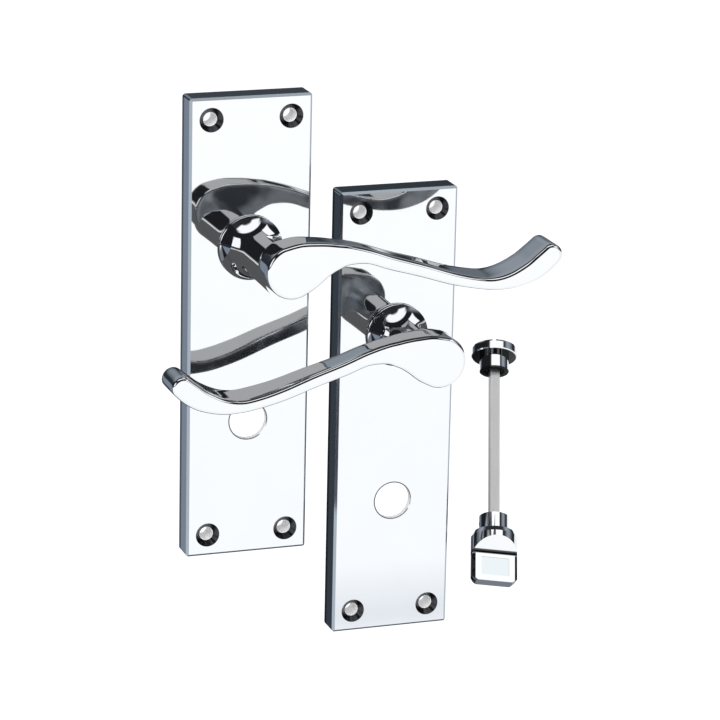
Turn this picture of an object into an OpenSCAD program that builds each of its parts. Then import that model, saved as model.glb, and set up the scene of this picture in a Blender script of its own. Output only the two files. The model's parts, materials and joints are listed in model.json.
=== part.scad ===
// A pair of scroll lever bathroom handles on long backplates, with the loose
// turn and release set that works the bolt.
// X runs across the plates, Y runs into the door and Z is up. The origin is on
// the left lever's spindle axis, in the plane where its plate meets the door.

/* [Backplate] */
// Width of each backplate
plate_w = 40; // [39:1:46]
// Height of each backplate
plate_h = 150; // [144:1:170]
// Depth of each backplate from the door to its face
plate_d = 8.5; // [8.5:0.5:10]
// Wall of the hollow backplate
plate_wall = 1.8; // [1.4:0.2:2]
// Chamfer round the plate's face
plate_bevel = 0.8; // [0.4:0.1:1.2]
// Radius of the plate's four upright corners
plate_corner_r = 1; // [0.6:0.2:2]
// Drop from the top of the plate to the lever's axis
axis_drop = 48.5; // [46:0.5:52]
// Centres from the lever's axis down to the turn's axis
turn_drop = 57; // [55:1:60]

/* [Fixing screws] */
// Distance between the screw columns
screw_dx = 26; // [24:1:27]
// Distance between the screw rows
screw_dz = 136; // [130:1:138]
// Through hole for a wood screw
screw_hole_d = 4.2; // [3.8:0.2:4.6]
// Width of the countersink at the face
screw_head_d = 7.8; // [7:0.2:8.2]
// Pillar round each screw hole, down to the door
pillar_d = 9; // [8.6:0.2:9.4]

/* [Lever] */
// Height of the lever's front face over the plate's face
lever_reach = 43.5; // [41:0.5:46]
// Radius of the scroll's round head
head_r = 8.4; // [8:0.1:8.8]
// Depth of the head from front to back
head_depth = 10.5; // [10:0.5:11.5]
// Edge rounding of the scroll
edge_r = 0.9; // [0.5:0.1:1.2]
// Lift of the left lever's tip, which is the play of the mechanism
left_lift = 0.6; // [0:0.1:0.8]
// Droop of the right lever's tip
right_droop = 0.6; // [0:0.1:0.8]

/* [Neck] */
// Diameter of the bell where it meets the plate
bell_d = 20.8; // [20.6:0.2:24]
// Height of the bell's sweep
bell_h = 13; // [12:1:16]
// Diameter of the neck at its waist
waist_d = 13.4; // [13.4:0.2:14.4]
// Diameter of the neck where it joins the head
neck_top_d = 14.2; // [13.6:0.2:15]
// Thickness of the bell's rim
bell_rim = 0.9; // [0.8:0.1:1.4]

/* [Spindle bearing] */
// Diameter of the lever's shank
shank_d = 13.6; // [13.4:0.2:14]
// Side of the square socket for the door's 8 mm spindle
socket_side = 8.1; // [8:0.05:8.2]
// Depth of the square socket
socket_depth = 17.5; // [16:0.5:19]
// Wall of the nylon bush
bush_wall = 1.35; // [1.2:0.05:1.5]
// Thickness of the bush's flange
bush_flange = 1; // [0.8:0.1:1.1]
// Wall of the hub that holds the bush
hub_wall = 2.2; // [1.8:0.1:2.3]
// Running clearance of the shank, on the radius
run_gap = 0.05; // [0.03:0.01:0.08]

/* [Return spring] */
// Thickness of the spring wire
wire_d = 0.9; // [0.8:0.05:0.9]
// Mean radius of the coil
coil_r = 12; // [11.8:0.1:12.3]
// Advance of one turn along the axis
coil_pitch = 1.35; // [1.32:0.01:1.4]
// Diameter of the stop pins
stop_d = 3; // [2.6:0.1:3.2]
// Radius of the circle that the stop pins stand on
stop_r = 15; // [15:0.1:15.4]
// Thickness of the drive disc
disc_t = 1; // [0.8:0.1:1]
// Thickness of the circlip
clip_t = 0.8; // [0.7:0.05:0.9]

/* [Turn and release] */
// Diameter of the thumbturn and of the release
turn_d = 15.6; // [14.6:0.2:16]
// Diameter of the bosses that turn in the plates
boss_d = 10; // [9.4:0.2:11.4]
// Length of the bosses
boss_len = 5.4; // [5.4:0.2:7]
// Diameter of the turn hole in each plate
turn_hole_d = 12.2; // [11.8:0.2:13]
// Length of the thumbturn's grip
grip_len = 18.5; // [16:0.5:20]
// Thickness of the grip's blade
blade_t = 4.4; // [4:0.2:5.4]
// Bevel of the blade's long edges
blade_edge = 0.8; // [0.4:0.1:1.2]
// Radius of the hollow where the blade's faces sweep up to the shoulder
blade_sweep = 1.5; // [0.8:0.1:2.5]
// Thickness of the release's disc
release_t = 3.4; // [2.8:0.1:3.8]
// Width of the coin slot
slot_w = 1.1; // [1:0.1:1.8]
// Side of the square turn spindle
spindle_side = 3.2; // [2.8:0.1:3.4]
// Bare length of the spindle between the two bosses
spindle_bare = 54.5; // [45:0.5:60]

/* [Layout] */
// Distance of the right lever's axis to the right of the left one
pair_dx = 54.9; // [54:0.1:60]
// Distance of the right lever's axis below the left one
pair_dz = 36.7; // [36:0.1:40]
// Distance that the right handle stands further back, clear of the left lever's swing
pair_dy = 14.5; // [14.5:0.5:20]
// Middle of the loose turn set, across
set_x = 97.6; // [96:0.1:112]
// Middle of the loose turn set, along the door
set_y = 24; // [16:1:30]
// Middle of the loose turn set, up
set_z = -90.6; // [-102:0.2:-88]
// Angle at which the release end of the set leans back
set_lean = 40; // [35:1:50]
// Angle at which the set leans sideways
set_side = 17; // [8:0.5:20]
// Angle by which the set is rolled about its own axis
set_roll = -15; // [-30:1:10]

/* [Hidden] */
$fn = 64;
eps = 0.01;

// Colours of the real finishes
chrome = "gainsboro";
nylon = "ivory";
spring_steel = "dimgray";
zinc_steel = "silver";

// Places along Y in one handle: 0 is the door and minus is towards the hand
face_y = -plate_d;
roof_y = face_y + plate_wall;
face_gap = 0.15;
rim_gap = 0.3;
press_gap = 0.02;
clip_y = -1.8;
disc_gap = 0.1;
hub_gap = 0.2;
disc_y = clip_y - disc_gap - disc_t;
hub_end_y = disc_y - hub_gap;
shank_end_y = -0.2;
front_y = face_y - lever_reach;

// Radii of the bearing
shank_r = shank_d / 2;
bush_bore_r = shank_r + run_gap;
bush_r = bush_bore_r + bush_wall;
hub_bore_r = bush_r + press_gap;
hub_r = hub_bore_r + hub_wall;
flange_r = bell_d / 2 - bell_rim - rim_gap;
groove_depth = 0.5;
groove_gap = 0.05;
groove_r = shank_r - groove_depth;
flat_depth = 0.9;
flat_half = shank_r - flat_depth;

// Screw rows stand the same distance from the top and the bottom of the plate
screw_top_z = axis_drop - (plate_h - screw_dz) / 2;
screw_z = [screw_top_z, screw_top_z - screw_dz];
screw_x = [-screw_dx / 2, screw_dx / 2];

// Angles of the return mechanism, from straight up, positive the way a lever goes down
lug_angle = -25;
lug_w = 4;
rest_slack = 2.2;
anchor_slack = 13.4;
lever_travel = 50;
lug_half_angle = asin(lug_w / 2 / stop_r);
pin_half_angle = asin(stop_d / 2 / stop_r);
rest_pin_angle = lug_angle - lug_half_angle - pin_half_angle - rest_slack;
anchor_pin_angle = lug_angle + lug_half_angle + pin_half_angle + lever_travel + anchor_slack;
lug_in_r = stop_r;
lug_t = 1.4;
lug_out_r = stop_r + lug_t;
pin_seat = 1;
pin_proud = 0.7;
disc_r = stop_r - stop_d / 2 - rim_gap;

// Spring path: fixed leg by the anchor pin, coil, then the leg that the lug pushes
leg_seat = 0.05;
leg_gap = 0.5;
fixed_leg_angle = anchor_pin_angle - pin_half_angle - asin((wire_d / 2 + leg_seat) / stop_r);
free_leg_angle = lug_angle + lug_half_angle + asin((wire_d / 2 + leg_gap) / stop_r);
coil_turns = 2 + (free_leg_angle - fixed_leg_angle) / 360;
coil_seat = 0.1;
coil_y0 = roof_y + wire_d / 2 + coil_seat;
rings_per_turn = 24;
leg_end_r = stop_r + 2;
bend_r = [coil_r + 1.4, coil_r + 0.4];
bend_angle = 2;

// Scroll of the lever: [x, z, half width, depth front to back] along its middle line
scroll = [
    [0.4, 2.9, head_r, head_depth],
    [5.2, 4.6, 7.6, 10.2],
    [10, 6, 5.8, 9.4],
    [14, 6.7, 4.4, 8.8],
    [18.5, 7, 3.2, 8.6],
    [25, 6, 2.3, 9],
    [32, 3.5, 2.2, 9.6],
    [42, 0.4, 2.1, 10.6],
    [52, -3, 2, 12],
    [60, -5, 1.9, 13.2],
    [66, -5.8, 2, 13.5],
    [72, -5.2, 2.6, 13.5],
    [78, -3, 3.3, 13.2],
    [82, -0.4, 3.6, 13],
    [86.3, 3.3, 3.4, 13]
];
tip_bulge = 1.6;
steps_per_span = 3;

// Catmull-Rom curve through the rows of a list
function curve_at(p, i, t) =
    let (n = len(p) - 1, a = p[max(i - 1, 0)], b = p[i], c = p[i + 1], d = p[min(i + 2, n)])
    0.5 * (2 * b + (c - a) * t + (2 * a - 5 * b + 4 * c - d) * t * t
        + (3 * b - a - 3 * c + d) * t * t * t);

// Rows of the round head's outer half, from its end to its middle, in line with the first span
head_way = let (d = scroll[1] - scroll[0]) [d[0], d[1]] / norm([d[0], d[1]]);
head_rows = [for (k = [0:5]) let (a = 4 + 86 * k / 6, back = head_r * cos(a))
    [scroll[0][0] - head_way[0] * back, scroll[0][1] - head_way[1] * back, head_r * sin(a), head_depth]];
ribbon_rows = [for (i = [0:len(scroll) - 2], k = [0:steps_per_span - 1])
    curve_at(scroll, i, k / steps_per_span)];
tip_way = let (n = len(scroll) - 1, d = scroll[n] - scroll[n - 1]) [d[0], d[1]] / norm([d[0], d[1]]);
tip_rows = [for (k = [0:4]) let (n = len(scroll) - 1, a = 88 * k / 4, e = scroll[n])
    [e[0] + tip_way[0] * tip_bulge * sin(a), e[1] + tip_way[1] * tip_bulge * sin(a), e[2] * cos(a), e[3]]];
line_rows = concat(head_rows, ribbon_rows, tip_rows);

function way(rows, i) =
    let (a = rows[max(i - 1, 0)], b = rows[min(i + 1, len(rows) - 1)], d = [b[0] - a[0], b[1] - a[1]])
    d / norm(d);
function side_point(rows, i, s) =
    let (w = way(rows, i), r = rows[i]) [r[0] - w[1] * r[2] * s, r[1] + w[0] * r[2] * s, r[3]];
// Closed outline: along the top, then back along the underside; each row is [x, z, depth]
outline = concat(
    [for (i = [0:len(line_rows) - 1]) side_point(line_rows, i, 1)],
    [for (i = [len(line_rows) - 1:-1:0]) side_point(line_rows, i, -1)]);

function outward(o, i) =
    let (n = len(o), a = o[(i + n - 1) % n], b = o[(i + 1) % n], d = [b[0] - a[0], b[1] - a[1]])
    [-d[1], d[0]] / norm(d);
// One ring of the scroll: the outline drawn in by inset, at a share of its depth
function scroll_ring(inset, from_front, from_back) = [for (i = [0:len(outline) - 1])
    let (o = outline[i], n = outward(outline, i))
    [o[0] - n[0] * inset,
     from_front >= 0 ? front_y + from_front : front_y + o[2] - from_back,
     o[1] - n[1] * inset]];

module scroll_blade() {
    n = len(outline);
    half = n / 2;
    bend = [0, 45, 90];
    rings = concat(
        [for (a = bend) scroll_ring(edge_r * (1 - sin(a)), edge_r * (1 - cos(a)), 0)],
        [for (k = [2:-1:0]) let (a = bend[k]) scroll_ring(edge_r * (1 - sin(a)), -1, edge_r * (1 - cos(a)))]);
    last = len(rings) - 1;
    points = [for (r = rings) each r];
    walls = [for (k = [0:last - 1], i = [0:n - 1]) let (j = (i + 1) % n)
        each [[k * n + i, (k + 1) * n + j, k * n + j], [k * n + i, (k + 1) * n + i, (k + 1) * n + j]]];
    front = [for (i = [0:half - 2]) let (a = i, b = i + 1, c = n - 1 - i, d = n - 2 - i)
        each [[a, b, d], [a, d, c]]];
    back = [for (f = front) [last * n + f[2], last * n + f[1], last * n + f[0]]];
    polyhedron(points = points, faces = concat(walls, front, back), convexity = 6);
}

// Solid of revolution about the handle's axis from [radius, y] points
module turned(profile) {
    rotate([-90, 0, 0]) rotate_extrude() polygon(profile);
}

// Cylinder along Y between two places
module rod(r, y0, y1) {
    translate([0, y0, 0]) rotate([-90, 0, 0]) cylinder(r = r, h = y1 - y0);
}

// Square bar along Y between two places
module square_bar(side, y0, y1) {
    translate([-side / 2, y0, -side / 2]) cube([side, y1 - y0, side]);
}

// Puts its children at an angle from straight up, on a circle about the axis
module at_angle(angle, r) {
    translate([r * sin(angle), 0, r * cos(angle)]) rotate([0, angle, 0]) children();
}

module rounded_block(w, h, r, y0, y1) {
    translate([0, y1, 0]) rotate([90, 0, 0]) linear_extrude(y1 - y0) union() {
        translate([-w / 2 + r, -h / 2]) square([w - 2 * r, h]);
        translate([-w / 2, -h / 2 + r]) square([w, h - 2 * r]);
        for (sx = [-1, 1], sz = [-1, 1])
            translate([sx * (w / 2 - r), sz * (h / 2 - r)]) circle(r);
    }
}

// Section of the plate with its chamfered front, as [across, depth] points
function chamfered(w) = [[-w / 2, 0], [-w / 2, face_y + plate_bevel], [-w / 2 + plate_bevel, face_y],
    [w / 2 - plate_bevel, face_y], [w / 2, face_y + plate_bevel], [w / 2, 0]];

module backplate() {
    mid_z = axis_drop - plate_h / 2;
    bore_y0 = face_y - 1;
    difference() {
        union() {
            translate([0, 0, mid_z]) difference() {
                intersection() {
                    translate([0, 0, -plate_h / 2]) linear_extrude(plate_h) polygon(chamfered(plate_w));
                    rotate([0, -90, 0]) translate([0, 0, -plate_w / 2]) linear_extrude(plate_w)
                        polygon(chamfered(plate_h));
                    rounded_block(plate_w, plate_h, plate_corner_r, face_y, 0);
                }
                rounded_block(plate_w - 2 * plate_wall, plate_h - 2 * plate_wall,
                    plate_corner_r / 2, roof_y, 1);
            }
            for (x = screw_x, z = screw_z) translate([x, 0, z]) rod(pillar_d / 2, roof_y - eps, 0);
            rod(hub_r, roof_y - eps, hub_end_y);
        }
        rod(hub_bore_r, bore_y0, 1);
        translate([0, 0, -turn_drop]) rod(turn_hole_d / 2, bore_y0, 1);
        for (x = screw_x, z = screw_z) translate([x, 0, z]) {
            rod(screw_hole_d / 2, bore_y0, 1);
            turned([[0, face_y - 1], [screw_head_d / 2 + 1, face_y - 1],
                [screw_hole_d / 2, face_y + (screw_head_d - screw_hole_d) / 2], [0, face_y + plate_d / 2]]);
        }
        for (a = [rest_pin_angle, anchor_pin_angle])
            at_angle(a, stop_r) rod(stop_d / 2 + press_gap, roof_y - 1, roof_y + 1);
    }
}

// Radius of the bell at a height over its rim: a hollow sweep in to the waist
function bell_r(h) = waist_d / 2 + (bell_d / 2 - waist_d / 2) * pow(1 - min(h / bell_h, 1), 2.6);
function neck_r(h, top) = bell_r(h) + (neck_top_d - waist_d) / 2 * pow(h / top, 3);

module lever() {
    rim_y = face_y - rim_gap;
    top = -front_y - head_depth / 2 + rim_y;
    rings = 18;
    sweep = [for (k = [0:rings]) let (h = top * pow(k / rings, 1.5))
        [neck_r(h, top), rim_y - bell_rim - h * (top - bell_rim) / top]];
    difference() {
        union() {
            scroll_blade();
            turned(concat([[0, rim_y], [bell_d / 2, rim_y]], sweep, [[0, rim_y - top]]));
            rod(shank_r, rim_y - 1, shank_end_y);
        }
        difference() {
            rod(flange_r + rim_gap, face_y - bush_flange - face_gap, rim_y + eps);
            rod(shank_r, face_y - bush_flange - 1, rim_y + 1);
        }
        square_bar(socket_side, -socket_depth, 1);
        difference() {
            rod(shank_r + 1, clip_y - groove_gap, clip_y + clip_t + groove_gap);
            rod(groove_r, clip_y - 1, clip_y + 2);
        }
        for (x = [flat_half, -flat_half - shank_r]) translate([x, hub_end_y, -shank_r])
            cube([shank_r, -hub_end_y + 1, 2 * shank_r]);
    }
}

module neck_bush() {
    difference() {
        union() {
            rod(bush_r, face_y - bush_flange, hub_end_y);
            rod(flange_r, face_y - bush_flange, face_y);
        }
        rod(bush_bore_r, face_y - bush_flange - 1, 0);
    }
}

module drive_disc() {
    key_gap = 0.05;
    difference() {
        union() {
            rod(disc_r, disc_y, disc_y + disc_t);
            rotate([0, lug_angle, 0]) {
                translate([-lug_w / 2, disc_y, disc_r / 2]) cube([lug_w, disc_t, lug_out_r - disc_r / 2]);
                translate([-lug_w / 2, roof_y + wire_d, lug_in_r])
                    cube([lug_w, disc_y - roof_y - wire_d + eps, lug_out_r - lug_in_r]);
            }
        }
        intersection() {
            rod(shank_r + key_gap, disc_y - 1, disc_y + disc_t + 1);
            translate([-flat_half - key_gap, disc_y - 1, -shank_r - 1])
                cube([2 * (flat_half + key_gap), disc_t + 2, 2 * shank_r + 2]);
        }
    }
}

module circlip() {
    ring_w = 1.6;
    ear_r = 1.3;
    ear_hole_r = 0.6;
    ear_angle = 28;
    mouth_angle = 20;
    in_r = groove_r + groove_gap;
    ear_at = in_r + ring_w - 0.2;
    mouth = 2 * (in_r + ring_w);
    difference() {
        union() {
            rod(in_r + ring_w, clip_y, clip_y + clip_t);
            for (s = [-1, 1]) at_angle(180 + s * ear_angle, ear_at) rod(ear_r, clip_y, clip_y + clip_t);
        }
        rod(in_r, clip_y - 1, clip_y + clip_t + 1);
        translate([0, clip_y - 1, 0]) rotate([-90, 0, 0]) linear_extrude(clip_t + 2)
            polygon([[0, 0], mouth * [sin(mouth_angle), cos(mouth_angle)],
                mouth * [-sin(mouth_angle), cos(mouth_angle)]]);
        for (s = [-1, 1]) at_angle(180 + s * ear_angle, ear_at)
            rod(ear_hole_r, clip_y - 1, clip_y + clip_t + 1);
    }
}

// Pin pressed into the back of the plate's face
module plate_pin(angle) {
    at_angle(angle, stop_r) rod(stop_d / 2, roof_y - pin_seat, disc_y + disc_t + pin_proud);
}

// Points of the spring's middle line
function on_circle(angle, r, y) = [r * sin(angle), y, r * cos(angle)];
coil_steps = ceil(coil_turns * rings_per_turn);
coil_end_y = coil_y0 + coil_turns * coil_pitch;
spring_path = concat(
    [on_circle(fixed_leg_angle, leg_end_r, coil_y0), on_circle(fixed_leg_angle, bend_r[0], coil_y0),
     on_circle(fixed_leg_angle + bend_angle, bend_r[1], coil_y0)],
    [for (k = [1:coil_steps - 1]) let (t = k / coil_steps)
        on_circle(fixed_leg_angle + 360 * coil_turns * t, coil_r, coil_y0 + coil_turns * coil_pitch * t)],
    [on_circle(free_leg_angle - bend_angle, bend_r[1], coil_end_y),
     on_circle(free_leg_angle, bend_r[0], coil_end_y),
     on_circle(free_leg_angle, leg_end_r, coil_end_y)]);

function path_way(p, i) = let (d = p[min(i + 1, len(p) - 1)] - p[max(i - 1, 0)]) d / norm(d);

// Tube of six sides along a path that lies nearly square to Y
module tube(p, r) {
    sides = 6;
    rings = [for (i = [0:len(p) - 1])
        let (t = path_way(p, i), u = cross(t, [0, 1, 0]), v = cross(u / norm(u), t))
        for (k = [0:sides - 1]) let (a = 360 * k / sides)
            p[i] + r * (cos(a) * u / norm(u) + sin(a) * v)];
    n = len(p);
    walls = [for (i = [0:n - 2], k = [0:sides - 1]) let (a = i * sides + k, b = i * sides + (k + 1) % sides)
        each [[a, b, b + sides], [a, b + sides, a + sides]]];
    caps = concat([for (k = [1:sides - 2]) [0, k + 1, k]],
        [for (k = [1:sides - 2]) [(n - 1) * sides, (n - 1) * sides + k, (n - 1) * sides + k + 1]]);
    polyhedron(points = rings, faces = concat(walls, caps), convexity = 6);
}

// Least gap between parts of the wire that are half a turn or more apart
fine = 6;
fine_path = [for (i = [0:len(spring_path) - 2], k = [0:fine - 1])
    spring_path[i] + (spring_path[i + 1] - spring_path[i]) * k / fine];
half_turn = floor(rings_per_turn * fine / 2);
self_gap = min([for (i = [0:len(fine_path) - 1 - half_turn], j = [i + half_turn:len(fine_path) - 1])
    norm(fine_path[i] - fine_path[j])]) - wire_d;

module return_spring() {
    echo("least gap of the spring to itself", self_gap);
    tube(spring_path, wire_d / 2);
}

// Thumbturn, spindle and release along their own axis: z = 0 is the thumbturn's
// foot and plus is towards the release
boss_z = grip_len;
bare_z = boss_z + boss_len;
release_z = bare_z + spindle_bare;
release_top_z = release_z + boss_len + release_t;
spindle_in = 4.2;
socket_end = 1.4;
pin_d = 1.4;
pin_short = 0.6;
slot_turn = 13;
slot_depth = 2.4;
slide_gap = 0.1;

module thumbturn() {
    r = turn_d / 2;
    foot = 1.6;
    shoulder = 2.4;
    cut = 0.7;
    face = blade_t / 2;
    slope_top = grip_len - 4.2;
    slope_foot = grip_len - 8.1;
    slope = atan((r - face) / (slope_top - slope_foot));
    sweep_at = [face + blade_sweep, slope_foot - blade_sweep * tan(slope / 2)];
    sweep = [for (k = [0:6]) let (a = 180 - slope * k / 6) sweep_at + blade_sweep * [cos(a), sin(a)]];
    beyond = [r - face, slope_top - slope_foot];
    edge_at = (sqrt(r * r - face * face) - blade_edge + face) / sqrt(2);
    panel = [9.4, 6.4, 0.15];
    difference() {
        union() {
            rotate_extrude() polygon([[0, 0], [r - foot, 0], [r - cut, cut], [r, foot],
                [r, grip_len - shoulder], [r - cut, grip_len - cut], [r - shoulder, grip_len],
                [0, grip_len]]);
            translate([0, 0, grip_len - 1]) cylinder(d = boss_d, h = boss_len + 1);
        }
        for (s = [-1, 1]) scale([1, s, 1]) {
            rotate([90, 0, 90]) translate([0, 0, -r - 1]) linear_extrude(2 * r + 2)
                polygon(concat([[face, -1]], sweep, [[face, slope_foot] + 2 * beyond, [face + 2 * beyond[0], -1]]));
            translate([-panel[0] / 2, face - panel[2], (slope_foot - panel[1]) / 2])
                cube([panel[0], panel[2] + 1, panel[1]]);
            for (side = [-1, 1]) scale([side, 1, 1]) rotate([0, 0, 45]) rotate([90, 0, 0]) linear_extrude(r)
                polygon([[edge_at, -1], [edge_at, sweep_at[1]], [edge_at + r, sweep_at[1] + r], [edge_at + r, -1]]);
        }
        translate([-spindle_side / 2 - press_gap, -spindle_side / 2 - press_gap, grip_len - spindle_in])
            cube([spindle_side + 2 * press_gap, spindle_side + 2 * press_gap, spindle_in + boss_len + 1]);
        translate([-boss_d, 0, boss_z + boss_len / 2]) rotate([0, 90, 0])
            cylinder(r = pin_d / 2 + press_gap, h = 2 * boss_d);
    }
}

module turn_spindle() {
    end_gap = 0.2;
    difference() {
        translate([-spindle_side / 2, -spindle_side / 2, grip_len - spindle_in + end_gap])
            cube([spindle_side, spindle_side, release_z - grip_len + 2 * spindle_in - end_gap]);
        translate([-boss_d, 0, boss_z + boss_len / 2]) rotate([0, 90, 0])
            cylinder(r = pin_d / 2 + press_gap, h = 2 * boss_d);
    }
}

module turn_pin() {
    length = boss_d - pin_short;
    translate([-length / 2, 0, boss_z + boss_len / 2]) rotate([0, 90, 0]) cylinder(d = pin_d, h = length);
}

module release() {
    r = turn_d / 2;
    socket = spindle_side + 2 * slide_gap;
    mouth_d = 6.2;
    mouth_depth = 2.2;
    edge = 0.3;
    bevel = 0.8;
    dome = 0.3;
    difference() {
        union() {
            translate([0, 0, release_z]) cylinder(d = boss_d, h = boss_len + 1);
            translate([0, 0, release_z + boss_len]) rotate_extrude() polygon([[0, 0], [r - edge, 0],
                [r, edge], [r, release_t - bevel], [r - bevel / 4, release_t - bevel / 3],
                [r - bevel, release_t], [0, release_t + dome]]);
        }
        translate([0, 0, release_z - 1]) cylinder(d = mouth_d, h = mouth_depth + 1);
        translate([-socket / 2, -socket / 2, release_z - 1])
            cube([socket, socket, 1 + spindle_in + socket_end]);
        rotate([0, 0, -slot_turn]) translate([-slot_w / 2, -r - 1, release_top_z - slot_depth])
            cube([slot_w, 2 * r + 2, slot_depth + 1]);
    }
}

module as_laid() {
    translate([set_x, set_y, set_z]) rotate([0, set_side, 0]) rotate([-set_lean, 0, 0])
        rotate([0, 0, set_roll]) translate([0, 0, -release_top_z / 2]) children();
}

// The left handle stands at the origin, and the right one is its mirror image
module left() { children(); }
module right() { translate([pair_dx, pair_dy, -pair_dz]) mirror([1, 0, 0]) children(); }
module left_swing() { rotate([0, -left_lift, 0]) children(); }
module right_swing() { right() rotate([0, right_droop, 0]) children(); }

module left_backplate() { color(chrome) backplate(); }
module left_lever() { color(chrome) left_swing() lever(); }
module left_neck_bush() { color(nylon) neck_bush(); }
module left_return_spring() { color(spring_steel) return_spring(); }
module left_drive_disc() { color(zinc_steel) left_swing() drive_disc(); }
module left_circlip() { color(spring_steel) left_swing() circlip(); }
module left_stop_pin() { color(zinc_steel) plate_pin(rest_pin_angle); }
module left_anchor_pin() { color(zinc_steel) plate_pin(anchor_pin_angle); }
module right_backplate() { color(chrome) right() backplate(); }
module right_lever() { color(chrome) right_swing() lever(); }
module right_neck_bush() { color(nylon) right() neck_bush(); }
module right_return_spring() { color(spring_steel) right() return_spring(); }
module right_drive_disc() { color(zinc_steel) right_swing() drive_disc(); }
module right_circlip() { color(spring_steel) right_swing() circlip(); }
module right_stop_pin() { color(zinc_steel) right() plate_pin(rest_pin_angle); }
module right_anchor_pin() { color(zinc_steel) right() plate_pin(anchor_pin_angle); }

left_backplate();
left_lever();
left_neck_bush();
left_return_spring();
left_drive_disc();
left_circlip();
left_stop_pin();
left_anchor_pin();
right_backplate();
right_lever();
right_neck_bush();
right_return_spring();
right_drive_disc();
right_circlip();
right_stop_pin();
right_anchor_pin();
as_laid() color(chrome) thumbturn();
as_laid() color(zinc_steel) turn_spindle();
as_laid() color(spring_steel) turn_pin();
as_laid() color(chrome) release();
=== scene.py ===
# %% [markdown]
# # A pair of scroll lever handles in polished chrome
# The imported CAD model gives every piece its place. This notebook dresses it: the two levers and the two
# springs get smooth meshes, every piece gets a material, and a small white studio lights the pair and the
# turn set that lies beside it. Chrome has almost no colour of its own, so most of the work is in what it
# reflects.

# %% Load the frame
import json
import math

import bmesh
import bpy
from mathutils import Matrix, Vector


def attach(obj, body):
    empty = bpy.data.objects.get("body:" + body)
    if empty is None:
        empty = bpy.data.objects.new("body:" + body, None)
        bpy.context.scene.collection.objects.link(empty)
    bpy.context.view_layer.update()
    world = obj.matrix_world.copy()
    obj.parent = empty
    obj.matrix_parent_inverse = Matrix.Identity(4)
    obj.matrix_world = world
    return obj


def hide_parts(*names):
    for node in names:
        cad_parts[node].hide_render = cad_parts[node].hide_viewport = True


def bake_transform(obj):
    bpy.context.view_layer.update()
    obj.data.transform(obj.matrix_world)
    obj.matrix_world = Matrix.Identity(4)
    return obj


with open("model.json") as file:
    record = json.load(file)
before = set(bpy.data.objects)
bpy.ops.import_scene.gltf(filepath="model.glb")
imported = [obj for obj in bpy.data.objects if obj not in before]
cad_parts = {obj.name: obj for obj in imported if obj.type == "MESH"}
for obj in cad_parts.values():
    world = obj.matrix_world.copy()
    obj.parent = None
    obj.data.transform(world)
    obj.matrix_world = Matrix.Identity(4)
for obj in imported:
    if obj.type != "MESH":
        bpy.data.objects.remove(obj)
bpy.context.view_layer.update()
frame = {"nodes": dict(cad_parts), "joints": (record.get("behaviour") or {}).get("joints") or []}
joints = {joint["name"]: joint for joint in frame["joints"]}
print("nodes:", len(frame["nodes"]))

# %% [markdown]
# ## Two hands from one drawing
# A left and a right handle are cast from mirrored tools. The same numbers are used for both here: a point
# is given in millimetres from the spindle axis and the door's face, and one function carries it to the left
# handle or, mirrored, to the right one. The levers hang a touch out of level, as play in a real mechanism
# lets them.

# %% Places of the two handles
MM = 0.001
SAG = math.radians(0.6)
HANDS = {
    "left": {"at": Vector((0, 0, 0)), "mirror": 1, "tilt": SAG},
    "right": {"at": Vector(joints["right_lever_turn"]["pos_m"]), "mirror": -1, "tilt": -SAG},
}


def hand_matrix(hand, tilted=True):
    """Carries millimetres of one handle to metres of the frame."""
    tilt = Matrix.Rotation(-hand["tilt"] if tilted else 0, 4, "Y")
    return Matrix.Translation(hand["at"]) @ Matrix.Diagonal((hand["mirror"] * MM, MM, MM, 1)) @ tilt


for name, hand in HANDS.items():
    print(name, "spindle axis at", [round(v, 4) for v in hand["at"]])

# %% [markdown]
# ## Making a mesh
# Every mesh below is a list of rings, each a closed row of points, joined by quads. One function does it,
# so the shape of a piece stays a matter of its rings. Faces that meet at a real edge are kept sharp and
# the rest are shaded smooth, because chrome shows every facet.

# %% Mesh helpers
SMOOTH_ANGLE = math.radians(32)


def finish_mesh(name, bm, matrix):
    """Turns a bmesh in millimetres into an object of the scene."""
    bm.transform(matrix)
    bmesh.ops.recalc_face_normals(bm, faces=bm.faces)
    mesh = bpy.data.meshes.new(name)
    bm.to_mesh(mesh)
    bm.free()
    mesh.shade_smooth()
    mesh.set_sharp_from_angle(angle=SMOOTH_ANGLE)
    obj = bpy.data.objects.new(name, mesh)
    bpy.context.scene.collection.objects.link(obj)
    return obj


def skin(bm, rings, closed=True):
    """Joins neighbouring rings with quads and gives back the rings' vertices."""
    rows = [[bm.verts.new(point) for point in ring] for ring in rings]
    count = len(rows[0])
    for a, b in zip(rows, rows[1:]):
        for i in range(count if closed else count - 1):
            j = (i + 1) % count
            bm.faces.new((a[i], a[j], b[j], b[i]))
    return rows


print("edges stay sharp over", round(math.degrees(SMOOTH_ANGLE)), "degrees")

# %% [markdown]
# ## The scroll
# The scroll is a bar of flat front that is wide and round at the head, narrows to a waist and curls up at
# the tip. It could be sculpted, but it is really one drawn outline with its edges broken. So a smooth curve
# runs through a few stations along the middle line, each with a half width and a depth from front to back.
# Half a circle closes the head and half an ellipse the tip. The outline is then offset inwards step by step
# to round the edges.

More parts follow.
